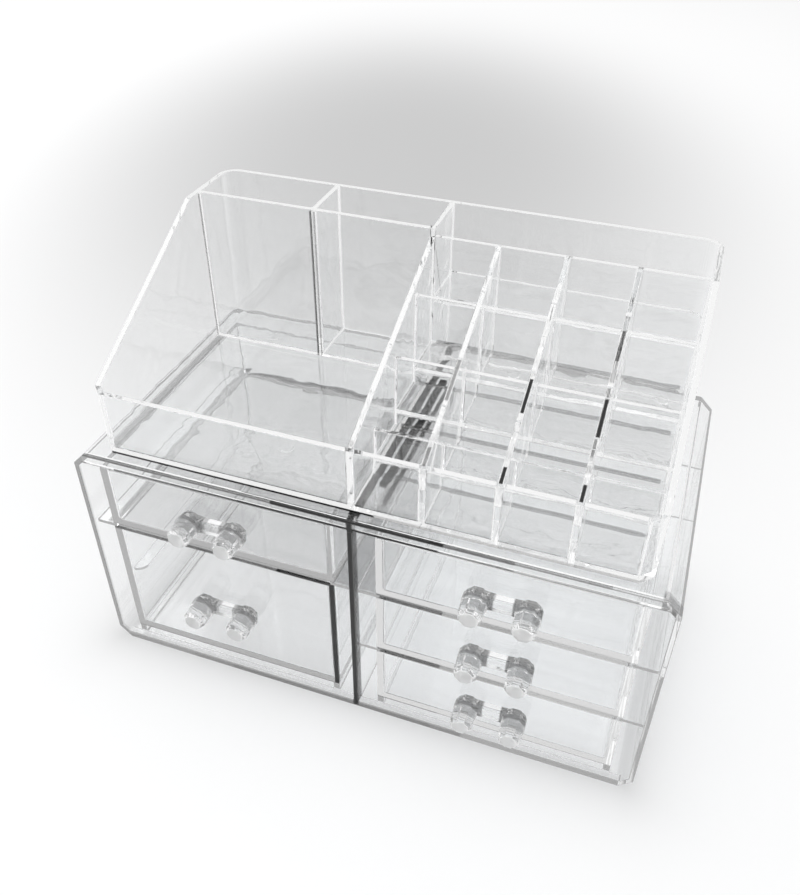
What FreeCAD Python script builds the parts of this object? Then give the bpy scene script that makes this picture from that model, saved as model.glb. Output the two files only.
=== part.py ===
import FreeCAD, Part
import os
import re
import Sketcher
from FreeCAD import Placement, Rotation, Vector

# Clear two-piece desk organizer: a case with five drawers and a lift-off tray with lipstick slots.
# X runs across the front, the drawers open towards -Y, Z is up and the case stands on Z = 0.

doc = FreeCAD.newDocument("drawer_organizer")
sheet = doc.addObject("Spreadsheet::Sheet", "Sizes")

DRIVING_SIZES = [
    ("case_width", 240.0, "case, side to side"),
    ("case_depth", 126.4, "case, front rim to back"),
    ("case_height", 110.4, "case, base to top"),
    ("corner_bevel", 5.6, "45 degree bevel along the four long edges of the case"),
    ("side_wall", 2.0, "case side wall"),
    ("top_wall", 2.4, "case top wall"),
    ("floor_wall", 2.4, "case bottom wall"),
    ("back_wall", 2.0, "case back panel"),
    ("divider_wall", 2.4, "upright between the two drawer columns"),
    ("lintel_drop", 2.2, "front lintel below the top wall"),
    ("sill_rise", 1.4, "front sill above the bottom wall"),
    ("rim_depth", 3.0, "lintel and sill, front to back"),
    ("drawer_side_gap", 7.8, "drawer side to the wall beside it"),
    ("drawer_setback", 2.6, "drawer front behind the case rim"),
    ("drawer_back_gap", 2.5, "drawer back to the case back panel"),
    ("drawer_lift", 7.8, "underside of the lowest drawers above the base"),
    ("drawer_top_gap", 3.2, "highest drawers below the lintel"),
    ("drawer_wall", 2.0, "drawer walls"),
    ("drawer_floor", 2.0, "drawer floor"),
    ("drawer_corner", 2.0, "radius of the upright corners inside a drawer"),
    ("ledge_thick", 1.6, "ledge that carries a drawer"),
    ("ledge_lap", 1.4, "ledge reach below the drawer"),
    ("slide_gap", 0.15, "clearance between a drawer and its ledge"),
    ("clear_gap", 0.3, "clearance between a drawer and the ledge above it"),
    ("spare_ledge_height", 29.5, "spare ledge on the left wall, above the base"),
    ("spare_ledge_width", 5.5, "spare ledge, out from the wall"),
    ("spare_ledge_setback", 16.0, "round front end of the spare ledge behind the rim"),
    ("knob_length", 13.6, "knob, out from the drawer front"),
    ("knob_foot_length", 2.1, "narrow foot of the knob, front to back"),
    ("knob_root_length", 4.2, "wide root of the knob, front to back"),
    ("knob_step_length", 0.4, "step from root to neck"),
    ("knob_bevel_length", 1.7, "front bevel of the knob"),
    ("knob_foot", 4.4, "corner radius of the octagonal knob at the drawer front"),
    ("knob_root", 5.3, "corner radius of the wide root"),
    ("knob_neck", 5.0, "corner radius just in front of the root"),
    ("knob_nose", 4.8, "corner radius where the front bevel begins"),
    ("knob_face", 3.6, "corner radius of the front face"),
    ("knob_spacing", 19.9, "between the two knobs of a handle"),
    ("waist_thick", 3.6, "flat waist between the knobs"),
    ("waist_height", 7.2, "waist where it meets the knobs"),
    ("waist_sag", 0.8, "hollow in the top and bottom edge of the waist"),
    ("tray_side_margin", 11.3, "tray side to case side"),
    ("tray_setback", 5.0, "tray front behind the case rim"),
    ("tray_height", 72.3, "tray, base to the top of its back wall"),
    ("tray_wall", 2.2, "outer walls of the tray"),
    ("tray_floor", 2.0, "tray floor"),
    ("tray_bevel", 4.9, "bevel on the two front uprights of the tray"),
    ("tray_round", 8.0, "radius of the two back uprights of the tray"),
    ("front_height", 28.3, "front wall of the tray above its base"),
    ("slope_setback", 36.0, "top of the side slope to the back of the tray"),
    ("inner_wall", 2.0, "partitions inside the tray"),
    ("block_wall", 2.2, "side wall of the lipstick block"),
    ("block_offset", 2.8, "left face of the lipstick block, left of the middle"),
    ("rear_room", 25.0, "rear compartments, front to back"),
    ("rear_split", 52.7, "right face of the rear divider, left of the middle"),
    ("first_drop", 16.2, "top of the first row partition below the slope of the column dividers"),
    ("second_drop", 8.6, "top of the second row partition below that slope"),
    ("third_drop", 4.2, "top of the third row partition below that slope"),
    ("fourth_drop", 3.3, "top of the fourth row partition below the back wall"),
    ("first_step", 8.4, "floor of the second row above the tray base"),
    ("second_step", 14.8, "floor of the third row"),
    ("third_step", 21.2, "floor of the fourth row"),
    ("rear_step", 41.6, "floor of the compartment behind the rows"),
    ("step_floor", 1.8, "thickness of the raised floors"),
]

for row, (alias, value, note) in enumerate(DRIVING_SIZES, start=1):
    sheet.set(f"A{row}", alias)
    sheet.set(f"B{row}", str(value))
    sheet.set(f"C{row}", note)
    sheet.setAlias(f"B{row}", alias)
doc.recompute()


def cell(text):
    """Expression text with every sheet alias written in full."""
    whole = lambda found: "Sizes." + found[0] if found[0] in ALIASES else found[0]
    return re.sub("[a-z_]+", whole, text)


def bind(feature, prop, text):
    feature.setExpression(prop, cell(text))


def bind_place(feature, corner):
    for axis, text in zip("xyz", corner):
        bind(feature, "Placement.Base." + axis, text)


ALIASES = {alias for alias, value, note in DRIVING_SIZES}

# Places shared by several sub-parts, as expressions of the sheet's cells.
FRONT = "( ( knob_length - drawer_setback - case_depth ) / 2 )"
BACK = f"( {FRONT} + case_depth )"
BACK_IN = f"( {BACK} - back_wall )"
SIDE_IN = "( case_width / 2 - side_wall )"
DIVIDER_HALF = "( divider_wall / 2 )"
BAY = f"( {SIDE_IN} - {DIVIDER_HALF} )"
DRAWER_WIDTH = f"( {BAY} - 2 * drawer_side_gap )"
DRAWER_FRONT = f"( {FRONT} + drawer_setback )"
DRAWER_LENGTH = f"( {BACK_IN} - drawer_back_gap - {DRAWER_FRONT} )"
TIER_GAP = "( ledge_thick + slide_gap + clear_gap )"
DRAWER_TOP = "( case_height - top_wall - lintel_drop - drawer_top_gap )"
TIER = f"( ( {DRAWER_TOP} - drawer_lift + {TIER_GAP} ) / 3 )"
LEDGE_LENGTH = f"( {BACK_IN} - {DRAWER_FRONT} )"
LEDGE_WIDTH = "( drawer_side_gap + ledge_lap )"

TRAY_BASE = "case_height"
TRAY_FRONT = f"( {FRONT} + tray_setback )"
TRAY_DEPTH = "( case_depth - tray_setback )"
TRAY_HALF = "( case_width / 2 - tray_side_margin )"
TRAY_IN = f"( {TRAY_HALF} - tray_wall )"
TRAY_FRONT_IN = f"( {TRAY_FRONT} + tray_wall )"
TRAY_BACK_IN = f"( {BACK} - tray_wall )"
REAR_FRONT = f"( {TRAY_BACK_IN} - rear_room )"
ROWS_BACK = f"( {REAR_FRONT} - inner_wall )"
BLOCK_LEFT = "( 0 - block_offset )"
BLOCK_IN = f"( {BLOCK_LEFT} + block_wall )"
BLOCK_SPAN = f"( {TRAY_IN} - {BLOCK_IN} )"
ROW_ROOM = f"( ( {ROWS_BACK} - {TRAY_FRONT_IN} - 3 * inner_wall ) / 4 )"
ROW_PITCH = f"( {ROW_ROOM} + inner_wall )"
COLUMN_ROOM = f"( ( {BLOCK_SPAN} - 3 * inner_wall ) / 4 )"
COLUMN_PITCH = f"( {COLUMN_ROOM} + inner_wall )"
SLOPE_TOP = "( tray_height - fourth_drop )"

SIDE_PROFILE = Rotation(Vector(1, 1, 1), 120)
FRONT_PROFILE = Rotation(Vector(1, 0, 0), 90)


def panel(label, size, corner):
    box = doc.addObject("Part::Box", label)
    box.Label = label
    for prop, text in zip(("Length", "Width", "Height"), size):
        bind(box, prop, text)
    bind_place(box, corner)
    return box


def outline(sketch, corners):
    """Closes straight lines through corners and dimensions every corner from the sketch origin."""
    start = [Vector(10 * number, number * number, 0) for number in range(len(corners))]
    for number in range(len(corners)):
        sketch.addGeometry(Part.LineSegment(start[number], start[(number + 1) % len(corners)]))
    for number in range(len(corners)):
        joint = (number, 2, (number + 1) % len(corners), 1)
        sketch.addConstraint(Sketcher.Constraint("Coincident", *joint))
    for number, corner in enumerate(corners):
        for kind, text in zip(("DistanceX", "DistanceY"), corner):
            guess = start[number].x if kind == "DistanceX" else start[number].y
            index = sketch.addConstraint(Sketcher.Constraint(kind, -1, 1, number, 1, guess))
            bind(sketch, f"Constraints[{index}]", text)


def swept(body, kind, name, rotation, corner, corners, length, reverse=False):
    """Pad along the normal of a closed outline, or a pocket against it; reverse turns either round."""
    sketch = body.newObject("Sketcher::SketchObject", name + "_outline")
    sketch.Placement = Placement(Vector(0, 0, 0), rotation)
    bind_place(sketch, corner)
    outline(sketch, corners)
    sweep = body.newObject("PartDesign::" + kind, name)
    sweep.Profile = sketch
    sweep.Reversed = reverse
    bind(sweep, "Length", length)
    doc.recompute()
    return sweep


def new_body(label):
    body = doc.addObject("PartDesign::Body", label)
    body.Label = label
    return body


def carved_box(body, kind, name, size, corner):
    box = body.newObject("PartDesign::" + kind, name)
    for prop, text in zip(("Length", "Width", "Height"), size):
        bind(box, prop, text)
    bind_place(box, corner)
    doc.recompute()
    return box


def upright_edges(feature, keep):
    """Names of the upright straight edges of feature whose middle point passes keep."""
    names = []
    for number, edge in enumerate(feature.Shape.Edges, start=1):
        if len(edge.Vertexes) != 2:
            continue
        low, high = (vertex.Point for vertex in edge.Vertexes)
        middle = (low + high) / 2
        run = high - low
        if abs(run.x) < 1e-6 and abs(run.y) < 1e-6 and keep(middle):
            names.append(f"Edge{number}")
    return names


def dressed(body, kind, name, feature, keep, prop, size):
    dress = body.newObject("PartDesign::" + kind, name)
    dress.Base = (feature, upright_edges(feature, keep))
    bind(dress, prop, size)
    doc.recompute()
    return dress


def value_of(text):
    return float(sheet.evalExpression(cell(text)))


# Drawer case

def bevelled_tube(label):
    body = new_body(label)
    half, tall = "( case_width / 2 )", "case_height"
    low, high = "corner_bevel", "( case_height - corner_bevel )"
    near, far = f"( {half} - corner_bevel )", half
    outer = [(f"( 0 - {near} )", "0"), (near, "0"), (far, low), (far, high), (near, tall)]
    outer += [(f"( 0 - {near} )", tall), (f"( 0 - {far} )", high), (f"( 0 - {far} )", low)]
    swept(body, "Pad", "case_block", FRONT_PROFILE, ("0", BACK, "0"), outer, "case_depth")
    # The inner bevel keeps the wall even where a side wall meets the top or the bottom.
    slant = "( corner_bevel - side_wall * ( 2 - sqrt(2) ) )"
    near, far = f"( {SIDE_IN} - {slant} )", SIDE_IN
    base, tall = "floor_wall", "( case_height - top_wall )"
    low, high = f"( {base} + {slant} )", f"( {tall} - {slant} )"
    inner = [(f"( 0 - {near} )", base), (near, base), (far, low), (far, high), (near, tall)]
    inner += [(f"( 0 - {near} )", tall), (f"( 0 - {far} )", high), (f"( 0 - {far} )", low)]
    swept(body, "Pocket", "case_hollow", FRONT_PROFILE, ("0", BACK, "0"), inner, "case_depth", True)
    return body, inner


def back_panel(label, inner):
    body = new_body(label)
    swept(body, "Pad", "back_plate", FRONT_PROFILE, ("0", BACK, "0"), inner, "back_wall")
    return body


def centre_divider():
    height = "( case_height - top_wall - floor_wall )"
    size = ("divider_wall", f"( {BACK_IN} - {FRONT} )", height)
    return panel("centre_divider", size, (f"( 0 - {DIVIDER_HALF} )", FRONT, "floor_wall"))


def front_rim(label, inner, divider):
    """Lintel and sill that thicken the front edge of the case."""
    body = new_body(label)
    place = ("0", f"( {FRONT} + rim_depth )", "0")
    swept(body, "Pad", "rim_block", FRONT_PROFILE, place, inner, "rim_depth")
    opening = ("case_width", "2 * rim_depth + 2", "( case_height - top_wall - lintel_drop - floor_wall - sill_rise )")
    corner = ("( 0 - case_width / 2 )", f"( {FRONT} - 1 )", "( floor_wall + sill_rise )")
    carved_box(body, "SubtractiveBox", "rim_opening", opening, corner)
    rim = doc.addObject("Part::Cut", "front_rim")
    rim.Label = "front_rim"
    rim.Base, rim.Tool = body, divider
    return rim


def ledge(label, wall_side, column, bottom):
    """Ledge on the wall at wall_side of a drawer column; column is -1 for left and 1 for right."""
    outer_wall = wall_side == column
    face = SIDE_IN if outer_wall else DIVIDER_HALF
    reach = f"( {face} - {LEDGE_WIDTH} )" if outer_wall else face
    left = reach if column > 0 else f"( 0 - {reach} - {LEDGE_WIDTH} )"
    size = (LEDGE_WIDTH, LEDGE_LENGTH, "ledge_thick")
    return panel(label, size, (left, DRAWER_FRONT, bottom))


def ledge_bottom(tier):
    return f"( drawer_lift + {tier} * {TIER} - slide_gap - ledge_thick )"


def runner(label, wall_side, column):
    """Foot-high runner on the case floor below the side of a lowest drawer."""
    outer_wall = wall_side == column
    edge = f"( {SIDE_IN} - drawer_side_gap )" if outer_wall else f"( {DIVIDER_HALF} + drawer_side_gap )"
    near = f"( {edge} - 2 * ledge_lap )" if outer_wall else edge
    left = near if column > 0 else f"( 0 - {near} - 2 * ledge_lap )"
    start = f"( {FRONT} + rim_depth )"
    size = ("2 * ledge_lap", f"( {BACK_IN} - {start} )", "drawer_lift - slide_gap - floor_wall")
    return panel(label, size, (left, start, "floor_wall"))


def spare_ledge(label):
    """Ledge with a round front end, on the left wall beside the tall drawer."""
    left = f"( 0 - {SIDE_IN} )"
    start = f"( {FRONT} + spare_ledge_setback + spare_ledge_width )"
    size = ("spare_ledge_width", f"( {BACK_IN} - {start} )", "ledge_thick")
    strip = panel(label + "_strip", size, (left, start, "spare_ledge_height"))
    end = doc.addObject("Part::Cylinder", label + "_end")
    bind(end, "Radius", "spare_ledge_width")
    bind(end, "Height", "ledge_thick")
    end.Angle = 90
    end.Placement = Placement(Vector(0, 0, 0), Rotation(Vector(0, 0, 1), -90))
    bind_place(end, (left, start, "spare_ledge_height"))
    whole = doc.addObject("Part::Fuse", label)
    whole.Label = label
    whole.Base, whole.Tool = strip, end
    return whole


# Drawers

def drawer_box(label, left, bottom, height):
    body = new_body(label)
    size = (DRAWER_WIDTH, DRAWER_LENGTH, height)
    block = carved_box(body, "AdditiveBox", label + "_block", size, (left, DRAWER_FRONT, bottom))
    room = (f"( {DRAWER_WIDTH} - 2 * drawer_wall )", f"( {DRAWER_LENGTH} - 2 * drawer_wall )", height)
    place = (f"( {left} + drawer_wall )", f"( {DRAWER_FRONT} + drawer_wall )", f"( {bottom} + drawer_floor )")
    hollow = carved_box(body, "SubtractiveBox", label + "_hollow", room, place)
    near, far = value_of(DRAWER_FRONT), value_of(f"{DRAWER_FRONT} + {DRAWER_LENGTH}")
    inside = lambda point: near + 1e-3 < point.y < far - 1e-3
    dressed(body, "Fillet", label + "_corners", hollow, inside, "Radius", "drawer_corner")
    return body


def knob(name, across, up):
    """Octagonal knob as a ruled loft through octagons, from the drawer front outwards."""
    rings = [
        ("0", "knob_foot"),
        ("knob_foot_length", "knob_root"),
        ("( knob_foot_length + knob_root_length )", "knob_root"),
        ("( knob_foot_length + knob_root_length + knob_step_length )", "knob_neck"),
        ("( knob_length - knob_bevel_length )", "knob_nose"),
        ("knob_length", "knob_face"),
    ]
    sections = []
    for number, (out, radius) in enumerate(rings):
        ring = doc.addObject("Part::RegularPolygon", f"{name}_ring_{number}")
        ring.Polygon = 8
        bind(ring, "Circumradius", radius)
        ring.Placement = Placement(Vector(0, 0, 0), FRONT_PROFILE * Rotation(Vector(0, 0, 1), 22.5))
        bind_place(ring, (across, f"( {DRAWER_FRONT} - {out} )", up))
        sections.append(ring)
    loft = doc.addObject("Part::Loft", name)
    loft.Sections = sections
    loft.Solid = True
    loft.Ruled = True
    return loft


def bow_handle(label, middle, up):
    """Two knobs joined by a flat waist with hollow top and bottom edges."""
    half = "( knob_spacing / 2 )"
    left_knob = knob(label + "_left_knob", f"( {middle} - {half} )", up)
    right_knob = knob(label + "_right_knob", f"( {middle} + {half} )", up)
    size = ("knob_spacing", "waist_thick", "waist_height")
    place = (f"( {middle} - {half} )", f"( {DRAWER_FRONT} - waist_thick )", f"( {up} - waist_height / 2 )")
    waist = panel(label + "_waist", size, place)
    # A circle through both ends of the edge that dips by waist_sag at its middle.
    curve = f"( ( {half} * {half} + waist_sag * waist_sag ) / ( 2 * waist_sag ) )"
    for sign, side in (("+", "top"), ("-", "bottom")):
        hollow = doc.addObject("Part::Cylinder", f"{label}_{side}_hollow")
        bind(hollow, "Radius", curve)
        bind(hollow, "Height", "2 * waist_thick")
        hollow.Placement = Placement(Vector(0, 0, 0), FRONT_PROFILE)
        centre = f"( {up} {sign} ( waist_height / 2 - waist_sag + {curve} ) )"
        bind_place(hollow, (middle, f"( {DRAWER_FRONT} + waist_thick / 2 )", centre))
        trimmed = doc.addObject("Part::Cut", f"{label}_{side}_cut")
        trimmed.Base, trimmed.Tool = waist, hollow
        waist = trimmed
    whole = doc.addObject("Part::MultiFuse", label)
    whole.Label = label
    whole.Shapes = [waist, left_knob, right_knob]
    return whole


def drawer(name, column, tier, tiers_tall):
    inner_edge = f"( {DIVIDER_HALF} + drawer_side_gap )"
    left = inner_edge if column > 0 else f"( 0 - {inner_edge} - {DRAWER_WIDTH} )"
    bottom = f"( drawer_lift + {tier} * {TIER} )"
    height = f"( {tiers_tall} * {TIER} - {TIER_GAP} )"
    middle = f"( {left} + {DRAWER_WIDTH} / 2 )"
    up = f"( {bottom} + {height} / 2 )"
    return [drawer_box(name + "_drawer", left, bottom, height), bow_handle(name + "_handle", middle, up)]


# Lift-off tray

def tray_shell(label):
    """Outer wall and floor of the tray, open below the raised rows."""
    body = new_body(label)
    ahead, behind = "0", TRAY_DEPTH
    near, far = f"( {TRAY_HALF} - tray_bevel )", TRAY_HALF
    plan = [(f"( 0 - {near} )", ahead), (near, ahead), (far, "tray_bevel"), (far, behind)]
    plan += [(f"( 0 - {far} )", behind), (f"( 0 - {far} )", "tray_bevel")]
    swept(body, "Pad", "tray_block", Rotation(), ("0", TRAY_FRONT, TRAY_BASE), plan, "tray_height")
    slant = "( tray_bevel - tray_wall * ( 2 - sqrt(2) ) )"
    ahead, behind = "0", f"( {TRAY_DEPTH} - 2 * tray_wall )"
    near, far = f"( {TRAY_IN} - {slant} )", TRAY_IN
    plan = [(f"( 0 - {near} )", ahead), (near, ahead), (far, slant), (far, behind)]
    plan += [(f"( 0 - {far} )", behind), (f"( 0 - {far} )", slant)]
    place = ("0", TRAY_FRONT_IN, f"( {TRAY_BASE} + tray_height )")
    depth = "( tray_height - tray_floor )"
    hollow = swept(body, "Pocket", "tray_hollow", Rotation(), place, plan, depth)
    # Inner rounds come first: the square hollow would break through the outer ones.
    back, back_in = value_of(BACK), value_of(TRAY_BACK_IN)
    at_hollow = lambda p: abs(p.y - back_in) < 1e-3
    inside = dressed(body, "Fillet", "tray_inner_rounds", hollow, at_hollow, "Radius", "( tray_round - tray_wall )")
    dressed(body, "Fillet", "tray_back_rounds", inside, lambda p: p.y > back - 1e-3, "Radius", "tray_round")
    # Everything above the side outline is cut away: low front, slope, full-height back.
    top, spare = "tray_height", "( 2 * tray_height )"
    end = f"( {TRAY_DEPTH} - slope_setback )"
    cut = [("( 0 - 1 )", "front_height"), ("tray_bevel", "front_height"), (end, top), (end, spare)]
    cut += [("( 0 - 1 )", spare)]
    place = (f"( 0 - {TRAY_HALF} - 1 )", TRAY_FRONT, TRAY_BASE)
    swept(body, "Pocket", "tray_slope", SIDE_PROFILE, place, cut, f"( 2 * {TRAY_HALF} + 2 )", True)
    start = f"( {TRAY_FRONT_IN} + {ROW_PITCH} )"
    size = (BLOCK_SPAN, f"( {TRAY_BACK_IN} - tray_round - {start} )", "2 * tray_floor")
    carved_box(body, "SubtractiveBox", "tray_underside", size, (BLOCK_IN, start, f"( {TRAY_BASE} - 1 )"))
    return body


def on_tray(height):
    return f"( {TRAY_BASE} + {height} )"


def row_front(row):
    """Front face of the partition behind row 1, 2, 3 or 4."""
    return f"( {TRAY_FRONT_IN} + {row} * {ROW_PITCH} - inner_wall )"


def slope_outline(depth, end_height):
    return [("0", "0"), (depth, "0"), (depth, end_height), ("0", "( front_height - tray_floor )")]


def block_side(label):
    """Wall between the large compartment and the lipstick rows, full height at the rear."""
    body = new_body(label)
    rise = "( tray_height - tray_floor )"
    run = f"( {REAR_FRONT} - {TRAY_FRONT_IN} )"
    low = f"( {SLOPE_TOP} - tray_floor )"
    end = f"( {TRAY_BACK_IN} - {TRAY_FRONT_IN} )"
    corners = [("0", "0"), (end, "0"), (end, rise), (run, rise), (run, low)]
    corners += [("0", "( front_height - tray_floor )")]
    place = (BLOCK_LEFT, TRAY_FRONT_IN, on_tray("tray_floor"))
    swept(body, "Pad", "block_side_plate", SIDE_PROFILE, place, corners, "block_wall")
    return body


def rear_partition(label):
    left = f"( 0 - {TRAY_IN} )"
    size = (f"( {BLOCK_LEFT} - {left} )", "inner_wall", "( tray_height - tray_floor )")
    return panel(label, size, (left, ROWS_BACK, on_tray("tray_floor")))


def rear_divider(label):
    size = ("inner_wall", "rear_room", "( tray_height - tray_floor )")
    return panel(label, size, ("( 0 - rear_split - inner_wall )", REAR_FRONT, on_tray("tray_floor")))


def below_slope(row, drop):
    """Height above the tray base that is drop below the column dividers' slope at a partition."""
    share = f"( ( {row} * {ROW_PITCH} - inner_wall ) / ( {ROWS_BACK} - {TRAY_FRONT_IN} ) )"
    return f"( front_height + ( {SLOPE_TOP} - front_height ) * {share} - {drop} )"


def row_partition(row, foot, top):
    size = (BLOCK_SPAN, "inner_wall", f"( {top} - {foot} )")
    return panel(f"row_partition_{row}", size, (BLOCK_IN, row_front(row), on_tray(foot)))


def raised_floor(label, row, top):
    start = f"( {row_front(row - 1)} + inner_wall )"
    foot = f"( {top} - step_floor )"
    return panel(label, (BLOCK_SPAN, ROW_ROOM, "step_floor"), (BLOCK_IN, start, on_tray(foot)))


def rear_floor(label):
    body = new_body(label)
    size = (BLOCK_SPAN, "rear_room", "step_floor")
    slab = carved_box(body, "AdditiveBox", "rear_slab", size, (BLOCK_IN, REAR_FRONT, on_tray("( rear_step - step_floor )")))
    side, back = value_of(TRAY_IN), value_of(TRAY_BACK_IN)
    corner = lambda p: abs(p.x - side) < 1e-3 and abs(p.y - back) < 1e-3
    dressed(body, "Fillet", "rear_slab_round", slab, corner, "Radius", "( tray_round - tray_wall )")
    return body


def column_divider(column, crossing):
    """Sloping upright between two slot columns, notched over the row partitions and floors."""
    label = f"column_divider_{column}"
    body = new_body(label + "_blank")
    left = f"( {BLOCK_IN} + {column} * {COLUMN_PITCH} - inner_wall )"
    depth = f"( {ROWS_BACK} - {TRAY_FRONT_IN} )"
    outline_corners = slope_outline(depth, f"( {SLOPE_TOP} - tray_floor )")
    place = (left, TRAY_FRONT_IN, on_tray("tray_floor"))
    swept(body, "Pad", label + "_plate", SIDE_PROFILE, place, outline_corners, "inner_wall")
    whole = doc.addObject("Part::Cut", label)
    whole.Label = label
    whole.Base, whole.Tool = body, crossing
    return whole


def cleared_space(row, top):
    """Space below a raised floor and the partition behind it, taken out of the column dividers."""
    start = f"( {row_front(row - 1)} + inner_wall )"
    return panel(f"space_below_row_{row}", (BLOCK_SPAN, ROW_PITCH, top), (BLOCK_IN, start, TRAY_BASE))


parts = []
shell, inner_corners = bevelled_tube("case_shell")
divider = centre_divider()
parts += [shell, back_panel("case_back", inner_corners), divider]
parts += [front_rim("front_rim_blank", inner_corners, divider)]
parts += [ledge("left_wall_ledge", -1, -1, ledge_bottom(2)), ledge("divider_left_ledge", 1, -1, ledge_bottom(2))]
for tier, word in ((1, "lower"), (2, "upper")):
    parts += [ledge(f"divider_{word}_ledge", -1, 1, ledge_bottom(tier))]
    parts += [ledge(f"right_wall_{word}_ledge", 1, 1, ledge_bottom(tier))]
for column, word in ((-1, "left"), (1, "right")):
    parts += [runner(f"{word}_outer_runner", column, column), runner(f"{word}_inner_runner", -column, column)]
parts += [spare_ledge("spare_ledge")]

DRAWERS = [("left_lower", -1, 0, 2), ("left_upper", -1, 2, 1), ("right_lower", 1, 0, 1)]
DRAWERS += [("right_middle", 1, 1, 1), ("right_upper", 1, 2, 1)]
for name, column, tier, tiers_tall in DRAWERS:
    parts += drawer(name, column, tier, tiers_tall)

tray = tray_shell("tray_shell")
parts += [tray, block_side("block_side_wall"), rear_partition("rear_partition"), rear_divider("rear_divider")]
FLOOR_TOPS = {2: "first_step", 3: "second_step", 4: "third_step"}
PARTITION_TOPS = [below_slope(1, "first_drop"), below_slope(2, "second_drop"), below_slope(3, "third_drop"), SLOPE_TOP]
crossings = []
for row, top in enumerate(PARTITION_TOPS, start=1):
    # A partition stands on the tray floor in front of the first step, then on the floor below it.
    foot = f"( {FLOOR_TOPS[row]} - step_floor )" if row in FLOOR_TOPS else "tray_floor"
    crossings.append(row_partition(row, foot, top))
for row, top in FLOOR_TOPS.items():
    crossings.append(raised_floor(f"row_floor_{row}", row, top))
parts += crossings + [rear_floor("rear_floor")]
spaces = [cleared_space(row, top) for row, top in FLOOR_TOPS.items()]
crossing = doc.addObject("Part::MultiFuse", "slot_crossings")
crossing.Shapes = crossings + spaces
for column in (1, 2, 3):
    parts += [column_divider(column, crossing)]

doc.recompute()
os.makedirs("parts", exist_ok=True)
for feature in doc.Objects:
    if "Invalid" in feature.State or "Error" in feature.State:
        raise RuntimeError(f"{feature.Name} did not build: {feature.State}")
for part in parts:
    if part.Shape.isNull() or not part.Shape.isValid() or not part.Shape.Solids:
        raise RuntimeError(f"{part.Label} has no valid solid")
    part.Shape.exportStep(f"parts/{part.Label}.step")
    print(part.Label, len(part.Shape.Solids), "solid, volume", round(part.Shape.Volume, 1))
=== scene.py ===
import math
import bmesh
import bpy
from mathutils import Matrix, Vector


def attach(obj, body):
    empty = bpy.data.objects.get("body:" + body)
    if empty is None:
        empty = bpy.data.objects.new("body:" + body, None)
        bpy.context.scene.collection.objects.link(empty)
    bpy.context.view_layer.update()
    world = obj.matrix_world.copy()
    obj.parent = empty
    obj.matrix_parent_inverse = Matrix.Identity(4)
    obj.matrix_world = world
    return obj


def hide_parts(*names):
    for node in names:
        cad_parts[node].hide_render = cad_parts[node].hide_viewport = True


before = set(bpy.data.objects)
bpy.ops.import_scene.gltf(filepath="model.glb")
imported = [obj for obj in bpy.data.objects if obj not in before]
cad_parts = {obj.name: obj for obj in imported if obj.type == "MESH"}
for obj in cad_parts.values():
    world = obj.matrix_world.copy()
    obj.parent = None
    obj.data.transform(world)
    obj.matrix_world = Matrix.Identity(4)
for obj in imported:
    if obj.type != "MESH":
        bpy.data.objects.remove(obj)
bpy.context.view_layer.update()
mm = 0.001
print("frame loaded:", len(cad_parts), "nodes")


# shader maths written as plain sums: a Wire is one output socket
class Wire:
    def __init__(self, graph, socket):
        self.graph = graph
        self.socket = socket

    def sum(self, operation, first, second=0.0):
        return self.graph.add("ShaderNodeMath", {"operation": operation}, {0: first, 1: second})

    def __add__(self, other):
        return self.sum("ADD", self, other)

    def __radd__(self, other):
        return self.sum("ADD", other, self)

    def __sub__(self, other):
        return self.sum("SUBTRACT", self, other)

    def __rsub__(self, other):
        return self.sum("SUBTRACT", other, self)

    def __mul__(self, other):
        return self.sum("MULTIPLY", self, other)

    def __rmul__(self, other):
        return self.sum("MULTIPLY", other, self)

    def __truediv__(self, other):
        return self.sum("DIVIDE", self, other)

    def __rtruediv__(self, other):
        return self.sum("DIVIDE", other, self)

    def __pow__(self, other):
        return self.sum("POWER", self, other)

    def highest(self, other):
        return self.sum("MAXIMUM", self, other)

    def lowest(self, other):
        return self.sum("MINIMUM", self, other)


# one node tree, of a material or of the world
class Graph:
    def __init__(self, tree):
        self.tree = tree
        tree.nodes.clear()

    def add(self, kind, settings=None, sockets=None, output=0):
        node = self.tree.nodes.new(kind)
        for name, value in (settings or {}).items():
            setattr(node, name, value)
        for name, value in (sockets or {}).items():
            self.feed(node, name, value)
        wire = Wire(self, node.outputs[output]) if len(node.outputs) else None
        if wire:
            wire.node = node
        return wire

    def feed(self, node, name, value):
        socket = node.inputs[name]
        if isinstance(value, Wire):
            self.tree.links.new(value.socket, socket)
        elif isinstance(value, (tuple, list)) and len(value) == 3 and socket.type == "RGBA":
            socket.default_value = (*value, 1.0)
        else:
            socket.default_value = value

    def pick(self, wire, output):
        return Wire(self, wire.node.outputs[output])


def newMaterial(name):
    material = bpy.data.materials.new(name)
    material.use_nodes = True
    return material, Graph(material.node_tree)


acrylic = {
    "tint": (0.982, 0.984, 0.985),         # what one wall lets through
    "haze": (0.950, 0.954, 0.956),         # where the moulding is a little cloudy
    "shadowTint": (0.987, 0.988, 0.989),
    "ior": 1.49,
    "roughness": 0.008,
    "handledRoughness": 0.04,              # where the cloud is densest, as on handled plastic
    "handledCloud": (0.5, 0.8),
    "cloudDetail": 2.0,
    "flowDetail": 1.0,
    "flowDistortion": 0.5,
    "flowDepth": 2.0 * mm,
    # colour of the painted highlight on the handles' front ends
    "paintedHighlightColour": (0.97, 0.97, 0.97),
    "trappedAfter": 30.0,                  # light still inside after this many crossings shows as a painted grey glow, as does light thrown back inside this often
    "trappedTurns": 5.0,                   # the edge's own grey, or thrown back inside this often
}


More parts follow.
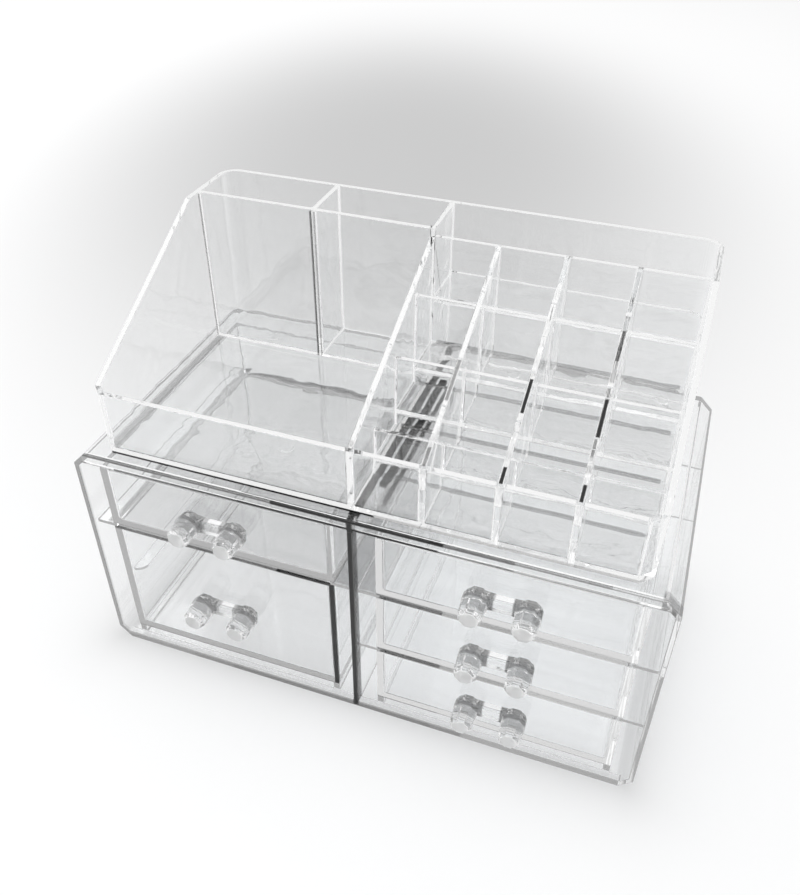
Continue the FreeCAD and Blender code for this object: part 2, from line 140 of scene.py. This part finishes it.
# 1 inside a soft-edged block of the piece, 0 outside it
def blockMask(graph, place, low, high, soft):
    middle = [(a + b) / 2 * mm for a, b in zip(low, high)]
    half = [(b - a) / 2 * mm for a, b in zip(low, high)]
    away = graph.add("ShaderNodeVectorMath", {"operation": "SUBTRACT"}, {0: place, 1: middle})
    away = graph.add("ShaderNodeVectorMath", {"operation": "ABSOLUTE"}, {0: away})
    away = graph.add("ShaderNodeVectorMath", {"operation": "SUBTRACT"}, {0: away, 1: half})
    split = graph.add("ShaderNodeSeparateXYZ", {}, {0: away})
    out = split.highest(graph.pick(split, "Y")).highest(graph.pick(split, "Z"))
    return graph.add("ShaderNodeMapRange", {}, {"Value": out, "From Min": 0.0, "From Max": soft * mm,
                                               "To Min": 1.0, "To Max": 0.0})


def clearAcrylic(name, look):
    material, graph = newMaterial(name)
    place = graph.add("ShaderNodeTexCoord", output="Object")
    cloud = graph.add("ShaderNodeTexNoise", {}, {
        "Vector": place, "Scale": look["cloudScale"], "Detail": acrylic["cloudDetail"]})
    flow = graph.add("ShaderNodeTexNoise", {}, {
        "Vector": place, "Scale": look["flowScale"], "Detail": acrylic["flowDetail"],
        "Distortion": acrylic["flowDistortion"]})
    colour = graph.add("ShaderNodeMix", {"data_type": "RGBA"},
                       {0: cloud, 6: acrylic["tint"], 7: acrylic["haze"]}, output=2)
    # painted shade: darker blocks where the plastic lies edge on or is seen through several walls, standing
    # in for the dark reflections and bent light seen there
    for low, high, soft, grey in look["paintedShade"]:
        mask = blockMask(graph, place, low, high, soft)
        colour = graph.add("ShaderNodeMix", {"data_type": "RGBA"},
                           {0: mask, 6: colour, 7: (grey, grey, grey)}, output=2)
    handled = graph.add("ShaderNodeMapRange", {}, {
        "Value": cloud, "From Min": acrylic["handledCloud"][0], "From Max": acrylic["handledCloud"][1],
        "To Min": acrylic["roughness"], "To Max": acrylic["handledRoughness"]})
    wave = graph.add("ShaderNodeBump", {}, {
        "Strength": look["flowBump"], "Distance": acrylic["flowDepth"], "Height": flow})
    clear = graph.add("ShaderNodeBsdfPrincipled", {}, {
        "Base Color": colour, "Roughness": handled, "IOR": acrylic["ior"],
        "Transmission Weight": 1.0, "Normal": wave})
    if "paintedHighlightFace" in look:      # painted highlight: a pale surface mixed onto the polished ends where they catch the most light
        end = blockMask(graph, place, *look["paintedHighlightFace"])
        pale = graph.add("ShaderNodeBsdfPrincipled", {}, {
            "Base Color": acrylic["paintedHighlightColour"], "Roughness": handled, "IOR": acrylic["ior"]})
        clear = graph.add("ShaderNodeMixShader", {}, {0: end * look["paintedHighlightStrength"], 1: clear, 2: pale})
    seeThrough = graph.add("ShaderNodeBsdfTransparent", {}, {"Color": acrylic["shadowTint"]})
    # soft light and shadow pass almost straight through
    path = graph.add("ShaderNodeLightPath", output="Is Shadow Ray")
    softLight = path.highest(graph.pick(path, "Is Diffuse Ray"))
    both = graph.add("ShaderNodeMixShader", {}, {0: softLight, 1: clear, 2: seeThrough})
    # painted light: a path still inside the plastic after that long glows grey instead of going dark
    glow = (look["paintedEdgeGlow"], look["paintedEdgeGlow"], look["paintedEdgeGlow"])
    paintedGlowShader = graph.add("ShaderNodeEmission", {}, {"Color": glow, "Strength": 1.0})
    crossed = graph.add("ShaderNodeMath", {"operation": "GREATER_THAN"}, {
        0: graph.pick(path, "Ray Depth"), 1: acrylic["trappedAfter"]})
    turned = graph.add("ShaderNodeMath", {"operation": "GREATER_THAN"}, {
        0: graph.pick(path, "Glossy Depth"), 1: acrylic["trappedTurns"]})
    trapped = crossed.highest(turned)
    whole = graph.add("ShaderNodeMixShader", {}, {0: trapped, 1: both, 2: paintedGlowShader})
    graph.add("ShaderNodeOutputMaterial", {}, {"Surface": whole})
    return material


# each block of painted shade gives its low and high corner and the width of its soft edge in mm, then its
# grey
caseLook = {"cloudScale": 14.0, "flowScale": 20.0, "flowBump": 0.10, "paintedEdgeGlow": 0.40, "paintedShade": [
    ((-121, -69, -1), (-115.5, -56.8, 111), 0.3, 0.66),       # left wall, edge on
    ((-121, -69, -1), (121, -56.8, 2.6), 0.3, 0.55),          # base, edge on, darker in the middle
    ((-80, -69, -1), (48, -56.8, 2.6), 0.3, 0.38),
    ((-60, -69, -1), (34, -56.8, 2.6), 0.3, 0.25),
    ((48, -69, -1), (121, -56.8, 2.6), 0.3, 0.88),            # and paler at the right
    ((115.5, -69, -1), (121, -56.8, 111), 0.3, 0.92),         # right wall, edge on
    ((113, -59, 103), (121, -53, 111), 0.4, 0.45),            # its bevelled top corner
    ((-1.3, -69, 1), (1.2, -54.0, 111), 0.3, 0.05),           # centre divider, edge on
    ((-0.9, -69, 1), (0.7, -53.0, 111), 0.3, 0.0),            # and its darker core
    ((-1.8, -54, 107.9), (1.8, 69, 111), 0.3, 0.02),          # dark runs on the case's top beside it
    ((3.6, -34, 107.9), (6.4, 44, 111), 0.4, 0.0),
    ((8.2, -44, 107.9), (9.4, 40, 111), 0.3, 0.05),
    ((-113.4, -54, 70), (-108.4, 66, 72.6), 0.3, 0.42),       # ledge on the left wall
    ((1.2, -54, 70), (10.8, 66, 72.6), 0.5, 0.55),            # ledges beside the divider
    ((-10.8, -54, 70), (-1.2, 66, 72.6), 0.5, 0.55),
    ((-116, -58.2, 109.7), (-30, -56.8, 110.7), 0.2, 0.12),   # line along the front's top edge
    ((-32, -58.0, 109.6), (118, -57.0, 110.7), 0.2, 0.80),    # that is darkest at the divider
    ((-32, -58.0, 109.6), (96, -57.0, 110.7), 0.2, 0.30),
    ((-32, -58.0, 109.4), (62, -57.0, 110.7), 0.2, 0.08),
    ((-32, -58.0, 109.4), (36, -57.0, 110.7), 0.2, 0.0),
    ((-116, -58.2, 105.1), (118, -56.8, 106.3), 0.2, 0.20),   # line along the foot of the lintel
    ((-70, -59, 105.1), (62, -56.0, 106.7), 0.3, 0.12),
    ((-46, -59, 105.1), (34, -55.6, 107.0), 0.3, 0.0),
]}

# painted shade on the left drawers: greyer floors, a dark crease where the low floor meets its back, and
# dark lines along the fronts' edges
leftDrawerLook = {"cloudScale": 18.0, "flowScale": 26.0, "flowBump": 0.12, "paintedEdgeGlow": 0.42, "paintedShade": [
    ((-107, -52, 0), (-12, 66, 10.2), 0.5, 0.86),             # floor of the tall drawer
    ((-107, -52, 70), (-12, 66, 75.2), 0.5, 0.78),            # floor of the low drawer
    ((-107, 61.8, 72), (-12, 65, 75.2), 0.4, 0.10),           # where that floor meets its back
    ((-10.8, -56, 0), (-8.8, -54.0, 72), 0.2, 0.0),           # right edge of the tall front
    ((-111, -55.6, 69.8), (-9, -54.2, 70.8), 0.15, 0.08),     # its top edge, darkest at the divider
    ((-34, -55.6, 69.8), (-9, -53.9, 70.8), 0.15, 0.0),
    ((-111, -55.6, 72.1), (-9, -54.0, 72.8), 0.15, 0.40),     # feet of both fronts
    ((-111, -55.6, 7.5), (-9, -54.0, 8.3), 0.15, 0.04),
]}

# heights of the right-hand fronts, and for each stretch of the painted shade lines along them its right end
# and grey:
# they are darker towards the divider
rightFronts = {
    "feet": (7.8, 40.1, 72.4), "footGreys": ((111, 0.40), (70, 0.25), (36, 0.04)),
    "tops": (38.1, 70.4), "topGreys": ((111, 0.55), (70, 0.30), (36, 0.04))}
rightDrawerLook = {"cloudScale": 18.0, "flowScale": 26.0, "flowBump": 0.12, "paintedEdgeGlow": 0.70, "paintedShade": []}
for foot in rightFronts["feet"]:
    for right, grey in rightFronts["footGreys"]:
        rightDrawerLook["paintedShade"].append(((9, -55.6, foot - 0.3), (right, -54.0, foot + 0.6), 0.15, grey))
for top in rightFronts["tops"]:
    for right, grey in rightFronts["topGreys"]:
        rightDrawerLook["paintedShade"].append(((9, -54.9, top - 0.5), (right, -53.4, top + 0.5), 0.15, grey))

slotRows = {"count": 4, "depth": 23, "rise": 6.4}
# painted shade on the tray: dark lines along its edges, partition and dividers, and greyer floors
trayLook = {"cloudScale": 20.0, "flowScale": 60.0, "flowBump": 0.20, "paintedEdgeGlow": 0.92, "paintedShade": [
    ((-107.4, -50, 110), (-103.4, 39, 112.8), 0.4, 0.55),     # left edge of the floor
    ((-106, -51.2, 111.8), (106, -49.9, 113.0), 0.2, 0.18),   # inner and outer foot of the front wall
    ((-106, -53.2, 110.1), (106, -51.8, 111.5), 0.2, 0.0),
    ((8, -52.9, 110.2), (106, -50.4, 111.8), 0.3, 0.35),
    ((-55.0, 39, 112.4), (-54.2, 41.8, 182), 0.2, 0.10),      # upright lines of the rear partition
    ((-53.2, 39, 112.4), (-52.6, 41.8, 182), 0.2, 0.25),
    ((-107.2, 39, 112.4), (-106.2, 41.8, 182), 0.2, 0.20),
    ((52.5, -25, 147.5), (53.6, -12, 157.5), 0.2, 0.0),       # short dark runs on the slots' dividers
    ((52.5, -51, 135), (53.6, -45, 141.5), 0.2, 0.0),
    ((79.7, -28, 147), (80.8, -14, 157), 0.2, 0.0),
    ((79.7, -51, 135), (80.8, -45, 141.5), 0.2, 0.0),
    ((79.7, 1, 161), (80.8, 13, 171), 0.2, 0.10),
    ((25.2, -26, 147), (26.3, -10, 159.5), 0.2, 0.10),
    ((25.2, -51, 134), (26.3, -44, 142), 0.2, 0.10),
]}
for row in range(slotRows["count"]):      # painted shade on each row's floor, and a darker painted line along the back of it
    back, up = slotRows["depth"] * row, slotRows["rise"] * row
    trayLook["paintedShade"].append(((-0.6, back - 50.5, up + 110.4), (106.5, back - 29.5, up + 112.6), 0.3, 0.88))
    trayLook["paintedShade"].append(((2, back - 30.8, up + 112.3), (104, back - 29.2, up + 113.5), 0.25, 0.30))

knobs = {"across": 59.6, "apart": 9.95, "collarHalf": 6}
handleLook = {
    "cloudScale": 60.0, "flowScale": 90.0, "flowBump": 0.04, "paintedEdgeGlow": 0.80, "paintedShade": [],
    # painted highlight on the handles' front faces, and how strongly it is mixed in
    "paintedHighlightFace": ((-121, -70, 0), (121, -68.5, 111), 0.1), "paintedHighlightStrength": 0.40}
# painted shade round the collar of each knob, next to the drawer front
for side in (-1, 1):
    for end in (-1, 1):
        middle = side * knobs["across"] + end * knobs["apart"]
        collar = (middle - knobs["collarHalf"], -60.6, 0), (middle + knobs["collarHalf"], -55, 111)
        handleLook["paintedShade"].append((*collar, 0.4, 0.28))

caseAcrylic = clearAcrylic("clear_case_acrylic", caseLook)
leftDrawerAcrylic = clearAcrylic("clear_left_drawer_acrylic", leftDrawerLook)
rightDrawerAcrylic = clearAcrylic("clear_right_drawer_acrylic", rightDrawerLook)
trayAcrylic = clearAcrylic("clear_tray_acrylic", trayLook)
handleAcrylic = clearAcrylic("clear_handle_acrylic", handleLook)
print("materials made")


moulding = {
    "mergeWithin": 0.002 * mm,
    "flatWithin": math.radians(0.5),
    "sharpOver": math.radians(32),
    "edgeSteps": 2,
    "cornerSteps": 3,
    "airGap": 0.06 * mm,                   # light leaves the plastic here before it enters what carries it
}


def meshOf(shape, name):
    mesh = bpy.data.meshes.new(name)
    shape.to_mesh(mesh)
    shape.free()
    return mesh


# a merged copy of one CAD node, ready for joining
def castOf(node):
    copy = bmesh.new()
    copy.from_mesh(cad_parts[node].data)
    copy.transform(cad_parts[node].matrix_world)
    bmesh.ops.remove_doubles(copy, verts=copy.verts, dist=moulding["mergeWithin"])
    bmesh.ops.dissolve_degenerate(copy, edges=copy.edges, dist=moulding["mergeWithin"])
    bmesh.ops.dissolve_limit(copy, angle_limit=moulding["flatWithin"], verts=copy.verts, edges=copy.edges,
                             use_dissolve_boundaries=False)
    return meshOf(copy, node + "Cast")


def pieceFrom(name, mesh, body, material):
    piece = bpy.data.objects.new(name, mesh)
    bpy.context.scene.collection.objects.link(piece)
    mesh.materials.clear()
    mesh.materials.append(material)
    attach(piece, body)
    return piece


# several CAD nodes of one body run together as one moulding, with no faces left inside it
def moulded(name, nodes, extras=()):
    base = bpy.data.objects.new(name + "Base", castOf(nodes[0]))
    bpy.context.scene.collection.objects.link(base)
    tools = []
    for mesh in [castOf(node) for node in nodes[1:]] + list(extras):
        tool = bpy.data.objects.new(name + "Tool", mesh)
        bpy.context.scene.collection.objects.link(tool)
        tools.append(tool)
        join = base.modifiers.new("join", "BOOLEAN")
        join.operation = "UNION"
        join.solver = "EXACT"
        join.object = tool
    bpy.context.view_layer.update()
    joined = bpy.data.meshes.new_from_object(base.evaluated_get(bpy.context.evaluated_depsgraph_get()))
    bpy.data.objects.remove(base)
    for tool in tools:
        bpy.data.objects.remove(tool)
    return joined


def edgesOver(shape, concave, shortest):
    found = []
    for edge in shape.edges:
        if edge.is_manifold and edge.calc_face_angle(0.0) > moulding["sharpOver"]:
            inner = edge.calc_face_angle_signed(0.0) < 0.0
            if inner == concave and edge.calc_length() > shortest:
                found.append(edge)
    return found


# the round marks that the mould's pins leave on the tray's floors
pinMarks = {
    "radius": 3.0 * mm, "proud": 0.22 * mm, "sunk": 0.3 * mm, "segments": 28,
    "ring": 0.5 * mm, "dish": 0.12 * mm, "clearAround": 1.2,
    "places": [(-80.6, 47.3, 112.4), (-39.0, -27.2, 112.4), (39.2, 26.3, 131.6), (98.4, 28.7, 131.6),
               (-9.6, 46.0, 112.4)]}


def pinMark(place):
    shape = bmesh.new()
    depth = pinMarks["proud"] + pinMarks["sunk"]
    bmesh.ops.create_cone(shape, cap_ends=True, segments=pinMarks["segments"], radius1=pinMarks["radius"],
                          radius2=pinMarks["radius"] - pinMarks["proud"], depth=depth)
    top = [face for face in shape.faces if face.normal.z > 0.9]
    bmesh.ops.inset_region(shape, faces=top, thickness=pinMarks["ring"], depth=-pinMarks["dish"])
    middle = Vector(place) * mm + Vector((0, 0, depth / 2 - pinMarks["sunk"]))
    bmesh.ops.translate(shape, verts=shape.verts, vec=middle)
    return meshOf(shape, "pinMark")


# the top corner where the slots' side wall meets the partition behind them
wallKnitBlock = {"low": (-2.8, 39.5, 179.0), "high": (-0.6, 42.0, 182.7)}


def wallKnit():
    low, high = Vector(wallKnitBlock["low"]) * mm, Vector(wallKnitBlock["high"]) * mm
    shape = bmesh.new()
    bmesh.ops.create_cube(shape, size=1.0)
    bmesh.ops.scale(shape, verts=shape.verts, vec=high - low)
    bmesh.ops.translate(shape, verts=shape.verts, vec=(low + high) / 2)
    return meshOf(shape, "wallKnit")


# the tray's two rear corners under the rim, where several walls run into one round
rearCorners = {"beyondX": 99 * mm, "beyondY": 55 * mm, "low": 111 * mm, "high": 180 * mm}


def inRearCorner(point):
    return abs(point.x) > rearCorners["beyondX"] and point.y > rearCorners["beyondY"]


# those two corners and the pin marks keep sharp edges
def leftSharp(edge):
    point = (edge.verts[0].co + edge.verts[1].co) / 2
    if inRearCorner(point) and rearCorners["low"] < point.z < rearCorners["high"]:
        return True
    around = pinMarks["radius"] * pinMarks["clearAround"]
    return any((point - Vector(place) * mm).length < around for place in pinMarks["places"])


# soft inner corners, a small round on every outer edge, and a hair of air under the piece
def finishMoulding(mesh, finish):
    shape = bmesh.new()
    shape.from_mesh(mesh)
    bmesh.ops.remove_doubles(shape, verts=shape.verts, dist=moulding["mergeWithin"])
    bmesh.ops.dissolve_limit(shape, angle_limit=moulding["flatWithin"], verts=shape.verts, edges=shape.edges,
                             use_dissolve_boundaries=False)
    bmesh.ops.recalc_face_normals(shape, faces=shape.faces)
    gaps = [edge for edge in shape.edges if not edge.is_manifold]
    reach = [[vert.co[axis] for vert in shape.verts] for axis in range(3)]
    low, high = [min(line) for line in reach], [max(line) for line in reach]
    if finish["inner"]:
        corners = edgesOver(shape, True, finish["shortest"])
        if finish["sharpRear"]:
            corners = [edge for edge in corners if not any(inRearCorner(vert.co) for vert in edge.verts)]
        print("    inner corners:", len(corners))
        bmesh.ops.bevel(shape, geom=corners, offset=finish["inner"], offset_type="OFFSET", affect="EDGES",
                        segments=moulding["cornerSteps"], profile=0.5, material=-1, clamp_overlap=False)
    sharp = [edge for edge in edgesOver(shape, False, 0.0) if not leftSharp(edge)]
    print("   ", len(shape.faces), "faces,", len(sharp), "edges to round,", len(gaps), "not closed")
    bmesh.ops.bevel(shape, geom=sharp, offset=finish["outer"], offset_type="OFFSET", affect="EDGES",
                    segments=moulding["edgeSteps"], profile=0.5, material=-1, clamp_overlap=False)
    # nothing that the rounding made stands past the moulding's own outside
    for vert in shape.verts:
        vert.co = [min(max(value, least), most) for value, least, most in zip(vert.co, low, high)]
    bmesh.ops.translate(shape, verts=shape.verts, vec=finish["shift"])
    shape.to_mesh(mesh)
    print("    rounded:", len(shape.faces), "faces")
    shape.free()
    for face in mesh.polygons:
        face.use_smooth = False


# "outer" and "inner" are the rounds of a moulding's outer edges and of its inner corners; inner corners
# up to "shortest" stay sharp, and so do those in the rear corners where "sharpRear" says so
caseMoulding = {
    "nodes": ["case_shell", "case_back", "centre_divider", "front_rim", "left_wall_ledge",
              "divider_left_ledge", "divider_lower_ledge", "right_wall_lower_ledge", "divider_upper_ledge",
              "right_wall_upper_ledge", "left_outer_runner", "left_inner_runner", "right_outer_runner",
              "right_inner_runner", "spare_ledge"],
    "outer": 0.28 * mm, "inner": 0.0, "shift": (0.0, 0.0, 0.0)}

mesh = moulded("clear_case", caseMoulding["nodes"])
finishMoulding(mesh, caseMoulding)
case = pieceFrom("clear_case", mesh, "case", caseAcrylic)
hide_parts(*caseMoulding["nodes"])
print("case moulded")

trayMoulding = {
    "nodes": ["tray_shell", "block_side_wall", "rear_partition", "rear_divider", "row_partition_1",
              "row_partition_2", "row_partition_3", "row_partition_4", "row_floor_2", "row_floor_3",
              "row_floor_4", "rear_floor", "column_divider_1", "column_divider_2", "column_divider_3"],
    "outer": 0.20 * mm, "inner": 0.6 * mm, "shortest": 1.2 * mm, "sharpRear": True,
    "shift": (0.0, 0.0, moulding["airGap"] * 2)}

trayExtras = [wallKnit()] + [pinMark(place) for place in pinMarks["places"]]
mesh = moulded("clear_tray", trayMoulding["nodes"], trayExtras)
finishMoulding(mesh, trayMoulding)
tray = pieceFrom("clear_tray", mesh, "tray", trayAcrylic)
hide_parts(*trayMoulding["nodes"])
print("tray moulded")

drawerMoulding = {
    "names": ["left_lower", "left_upper", "right_lower", "right_middle", "right_upper"],
    "outer": 0.22 * mm, "inner": 0.9 * mm, "shortest": 0.0, "sharpRear": False,
    "shift": (0.0, 0.0, moulding["airGap"])}
handleMoulding = {"outer": 0.15 * mm, "inner": 0.0, "shift": (0.0, -moulding["airGap"], moulding["airGap"])}

for drawer in drawerMoulding["names"]:
    body = drawer + "_drawer"
    plastic = leftDrawerAcrylic if drawer.startswith("left") else rightDrawerAcrylic
    mesh = moulded(drawer, [body])
    finishMoulding(mesh, drawerMoulding)
    piece = pieceFrom(drawer + "_clear_drawer", mesh, body, plastic)
    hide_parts(body)
    mesh = moulded(drawer, [drawer + "_handle"])
    finishMoulding(mesh, handleMoulding)
    piece = pieceFrom(drawer + "_clear_handle", mesh, body, handleAcrylic)
    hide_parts(drawer + "_handle")
print("drawers moulded")


floorLook = {
    "half": 5.0, "under": 0.02 * mm,       # metres from its middle to its sides, and how far it lies below 0
    "pale": (0.965, 0.966, 0.968), "paper": (0.955, 0.956, 0.958), "roughness": 0.9,
    "grainScale": 400.0, "grainDetail": 2.0,
    # the painted shade behind the object, a grey oval: how dark, where, how far it reaches and how sudden
    # its edge is
    "grey": 0.42, "greyPlace": (-0.204, 0.565, 0.0), "greyReach": (0.318, 0.475, 1.0), "greyTurn": 0.296,
    "greyEdge": 3.08,
    # the soft shadow close along the foot of the case
    "footHalf": (0.117, 0.056, 1.0), "footFade": 0.012, "footInside": 0.6, "footGrey": 0.30,
}


def makeFloor():
    material, graph = newMaterial("pale_floor")
    place = graph.add("ShaderNodeTexCoord", output="Object")
    grain = graph.add("ShaderNodeTexNoise", {}, {
        "Vector": place, "Scale": floorLook["grainScale"], "Detail": floorLook["grainDetail"]})
    sheet = graph.add("ShaderNodeMix", {"data_type": "RGBA"},
                      {0: grain, 6: floorLook["pale"], 7: floorLook["paper"]}, output=2)
    oval = graph.add("ShaderNodeMapping", {"vector_type": "TEXTURE"}, {
        "Vector": place, "Location": floorLook["greyPlace"], "Scale": floorLook["greyReach"],
        "Rotation": (0.0, 0.0, floorLook["greyTurn"])})
    away = graph.add("ShaderNodeVectorMath", {"operation": "LENGTH"}, {0: oval}, output=1)
    shade = graph.add("ShaderNodeMath", {"operation": "EXPONENT"}, {0: 0.0 - away ** floorLook["greyEdge"]})
    offset = graph.add("ShaderNodeVectorMath", {"operation": "ABSOLUTE"}, {0: place})
    offset = graph.add("ShaderNodeVectorMath", {"operation": "SUBTRACT"},
                       {0: offset, 1: floorLook["footHalf"]})
    split = graph.add("ShaderNodeSeparateXYZ", {}, {0: offset})
    outX = split.highest(0.0)
    outY = graph.pick(split, "Y").highest(0.0)
    beyond = (outX * outX + outY * outY) ** 0.5
    within = 0.0 - split.highest(graph.pick(split, "Y")).lowest(0.0)
    insideFade = floorLook["footFade"] * floorLook["footInside"]
    foot = graph.add("ShaderNodeMath", {"operation": "EXPONENT"}, {
        0: 0.0 - (beyond / floorLook["footFade"] + within / insideFade)})
    left = (1.0 - shade * floorLook["grey"]) * (1.0 - foot * floorLook["footGrey"])
    leftGrey = graph.add("ShaderNodeCombineColor", {}, {0: left, 1: left, 2: left})
    colour = graph.add("ShaderNodeMix", {"data_type": "RGBA", "blend_type": "MULTIPLY"},
                       {0: 1.0, 6: sheet, 7: leftGrey}, output=2)
    matt = graph.add("ShaderNodeBsdfPrincipled", {}, {
        "Base Color": colour, "Roughness": floorLook["roughness"], "Specular IOR Level": 0.0})
    graph.add("ShaderNodeOutputMaterial", {}, {"Surface": matt})
    shape = bmesh.new()
    bmesh.ops.create_grid(shape, x_segments=1, y_segments=1, size=floorLook["half"])
    bmesh.ops.translate(shape, verts=shape.verts, vec=(0, 0, -floorLook["under"]))
    mesh = meshOf(shape, "studio_floor")
    mesh.materials.append(material)
    floor = bpy.data.objects.new("studio_floor", mesh)
    bpy.context.scene.collection.objects.link(floor)


makeFloor()

# levels of the room: seen directly, falling on the floor, and mirrored or bent by the plastic
studio = {
    "seen": 0.95, "ambient": 0.88,
    "ceiling": 1.25, "wall": 0.80, "ceilingFrom": 0.35, "ceilingFull": 0.75,
    "dark": 0.22, "darkFrom": 0.10, "darkFull": 0.40, "darkWidth": 0.5, "darkTop": 0.60, "darkEnd": 0.85,
    "lampPower": 10.0, "lampSize": 1.4, "lampPlace": (-0.9, 0.3, 1.7), "lampAim": (0, 0, 0.05),
}


def makeWorld():
    world = bpy.data.worlds.new("studio_room")
    bpy.context.scene.world = world
    world.use_nodes = True
    graph = Graph(world.node_tree)
    path = graph.add("ShaderNodeLightPath", output="Is Camera Ray")
    room = graph.add("ShaderNodeBackground", {}, {"Color": (1.0, 1.0, 1.0), "Strength": studio["ambient"]})
    plain = graph.add("ShaderNodeBackground", {}, {"Color": (1.0, 1.0, 1.0), "Strength": studio["seen"]})
    # what the plastic mirrors and bends: a bright ceiling, plain walls, and a dark side towards the front
    place = graph.add("ShaderNodeTexCoord", output="Object")
    split = graph.add("ShaderNodeSeparateXYZ", {}, {0: place})
    high = graph.pick(split, "Z")
    front = 0.0 - graph.pick(split, "Y")
    side = graph.add("ShaderNodeMath", {"operation": "ABSOLUTE"}, {0: graph.pick(split, "X")})
    ceiling = graph.add("ShaderNodeMapRange", {"interpolation_type": "SMOOTHSTEP"}, {
        "Value": high, "From Min": studio["ceilingFrom"], "From Max": studio["ceilingFull"],
        "To Min": studio["wall"], "To Max": studio["ceiling"]})
    darkSide = graph.add("ShaderNodeMapRange", {"interpolation_type": "SMOOTHSTEP"}, {
        "Value": front - side * studio["darkWidth"], "From Min": studio["darkFrom"],
        "From Max": studio["darkFull"], "To Min": 0.0, "To Max": 1.0})
    lowDown = graph.add("ShaderNodeMapRange", {"interpolation_type": "SMOOTHSTEP"}, {
        "Value": high, "From Min": studio["darkTop"], "From Max": studio["darkEnd"],
        "To Min": 1.0, "To Max": 0.0})
    dark = darkSide * lowDown
    level = ceiling * (1.0 - dark) + dark * studio["dark"]
    levelGrey = graph.add("ShaderNodeCombineColor", {}, {0: level, 1: level, 2: level})
    mirrored = graph.add("ShaderNodeBackground", {}, {"Color": levelGrey, "Strength": 1.0})
    inPlastic = graph.pick(path, "Is Glossy Ray").highest(graph.pick(path, "Is Transmission Ray"))
    around = graph.add("ShaderNodeMixShader", {}, {0: inPlastic, 1: room, 2: mirrored})
    both = graph.add("ShaderNodeMixShader", {}, {0: path, 1: around, 2: plain})
    graph.add("ShaderNodeOutputWorld", {}, {"Surface": both})


makeWorld()


def makeLamp():
    light = bpy.data.lights.new("soft_box", "AREA")
    light.shape = "SQUARE"
    light.size = studio["lampSize"]
    light.energy = studio["lampPower"]
    lamp = bpy.data.objects.new("soft_box", light)
    lamp.location = studio["lampPlace"]
    ahead = Vector(studio["lampAim"]) - Vector(studio["lampPlace"])
    lamp.rotation_euler = ahead.to_track_quat("-Z", "Y").to_euler()
    bpy.context.scene.collection.objects.link(lamp)


makeLamp()

# metres, degrees and, for the lens and its film, millimetres
viewpoint = {
    "place": (0.09714, -0.27802, 0.33454), "yaw": -19.39, "pitch": -38.28, "roll": 0.40,
    "lens": 40.36, "film": 36.0, "nearest": 0.01, "farthest": 50.0,
}


def makeCamera():
    yaw, pitch, roll = (math.radians(viewpoint[name]) for name in ("yaw", "pitch", "roll"))
    ahead = Vector((math.sin(yaw) * math.cos(pitch), math.cos(yaw) * math.cos(pitch), math.sin(pitch)))
    right = Vector((math.cos(yaw), -math.sin(yaw), 0.0))
    up = right.cross(ahead)
    across = math.cos(roll) * right + math.sin(roll) * up
    above = -math.sin(roll) * right + math.cos(roll) * up
    turn = Matrix((across, above, -ahead)).transposed().to_4x4()
    lens = bpy.data.cameras.new("front_camera")
    lens.sensor_fit = "HORIZONTAL"
    lens.sensor_width = viewpoint["film"]
    lens.lens = viewpoint["lens"]
    lens.clip_start = viewpoint["nearest"]
    lens.clip_end = viewpoint["farthest"]
    camera = bpy.data.objects.new("front_camera", lens)
    camera.matrix_world = Matrix.Translation(Vector(viewpoint["place"])) @ turn
    bpy.context.scene.collection.objects.link(camera)
    bpy.context.scene.camera = camera


makeCamera()
bpy.context.scene.view_settings.view_transform = "Standard"

# how long a path of light may get; it has to be longer than acrylic's trappedAfter
lightPaths = {"max_bounces": 36, "transmission_bounces": 36, "glossy_bounces": 36,
              "transparent_max_bounces": 64, "diffuse_bounces": 4}
for limit, count in lightPaths.items():
    setattr(bpy.context.scene.cycles, limit, count)
print("floor, light and camera set")
